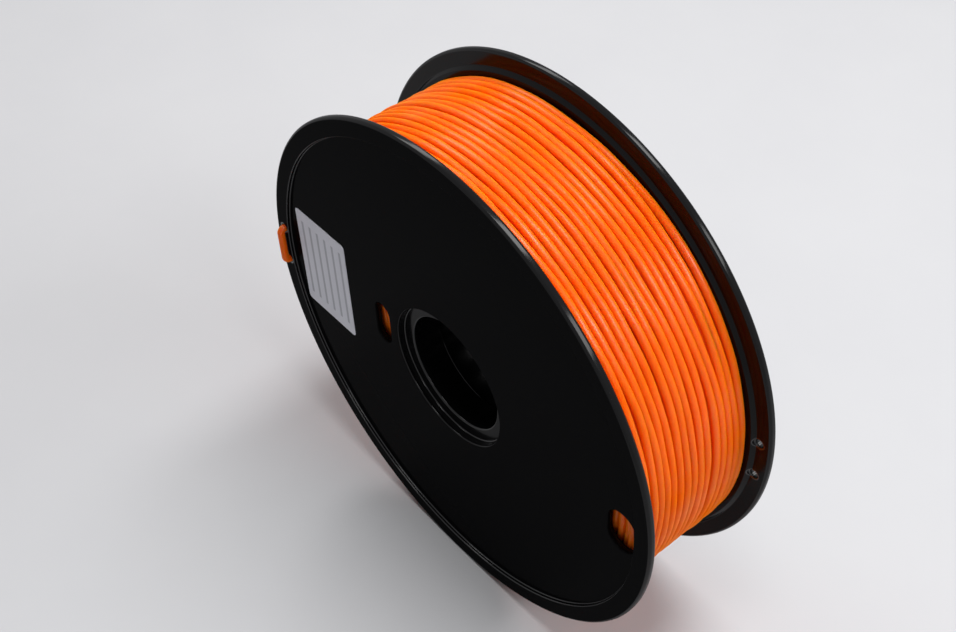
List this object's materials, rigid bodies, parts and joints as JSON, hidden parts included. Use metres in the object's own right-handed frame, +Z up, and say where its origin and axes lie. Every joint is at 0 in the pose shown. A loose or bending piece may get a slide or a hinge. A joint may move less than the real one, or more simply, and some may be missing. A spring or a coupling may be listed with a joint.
{
  "type": "filament spool",
  "caption": "Round flanged spool wound with glossy plastic filament whose end is tied through two small holes, with slotted clip-fit flanges, a hub bore for a spindle and a blank paper label.",
  "frame": {"origin": "centre of the spool, on its axis, halfway between the outer planes of the flanges", "axes": "+Y along the axis from the labelled flange to the other, +X through the flange slots away from the label, +Z up as the spool stands on its rims"},
  "size_m": [0.2, 0.0608, 0.2],
  "materials": {
    "flange_plastic": "glossy injection-moulded black",
    "barrel_plastic": "black moulded tube",
    "filament": "glossy, slightly translucent orange",
    "label_paper": "smooth white sticker paper"
  },
  "bodies": {
    "root": {"near_flange": "flange_plastic", "far_flange": "flange_plastic", "core_barrel": "barrel_plastic", "filament_inner_layers": "filament", "filament_outer_turns": "filament", "label": "label_paper"}
  },
  "joints": []
}
